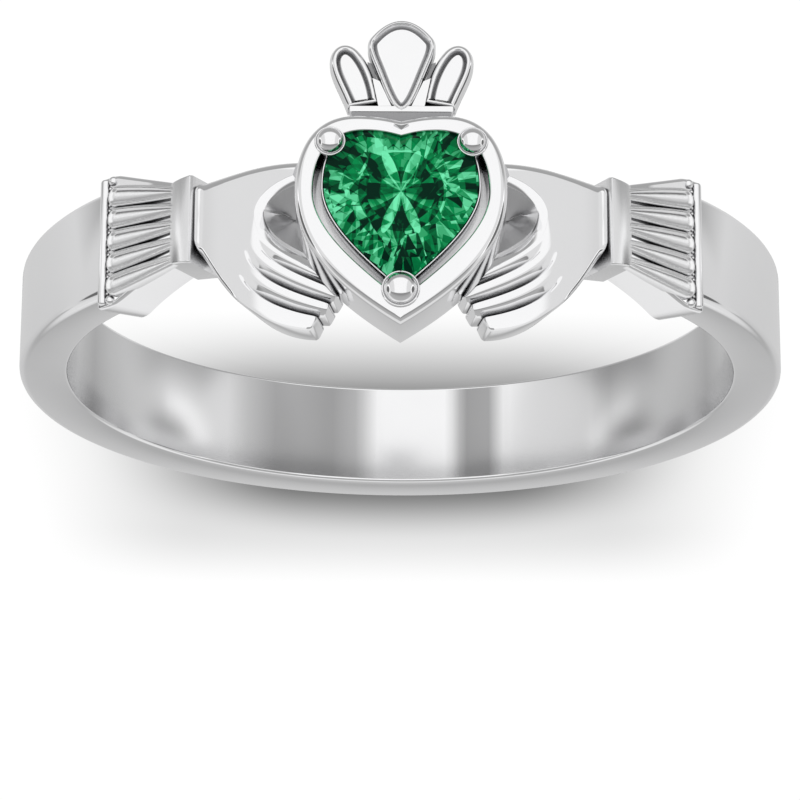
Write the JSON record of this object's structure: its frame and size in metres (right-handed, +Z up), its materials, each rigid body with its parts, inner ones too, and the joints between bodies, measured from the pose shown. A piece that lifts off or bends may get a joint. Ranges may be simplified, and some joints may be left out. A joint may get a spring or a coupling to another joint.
{
  "type": "claddagh ring",
  "caption": "Claddagh ring: cuffed hands hold a crowned heart set with a heart-cut green stone, on a plain polished band.",
  "frame": {"origin": "middle of the ring's box on the surface that it lies on", "axes": "+Z up from the surface, -Y from the finger hole's middle to the heart, X across the ring; the bore leans 7.5 degrees back from +Z"},
  "size_m": [0.0198, 0.022, 0.0079],
  "materials": {
    "polished_silver": "polished",
    "green_stone": "polished facets"
  },
  "bodies": {
    "root": {"cast_ring": "polished_silver", "heart_stone": "green_stone"}
  },
  "joints": []
}
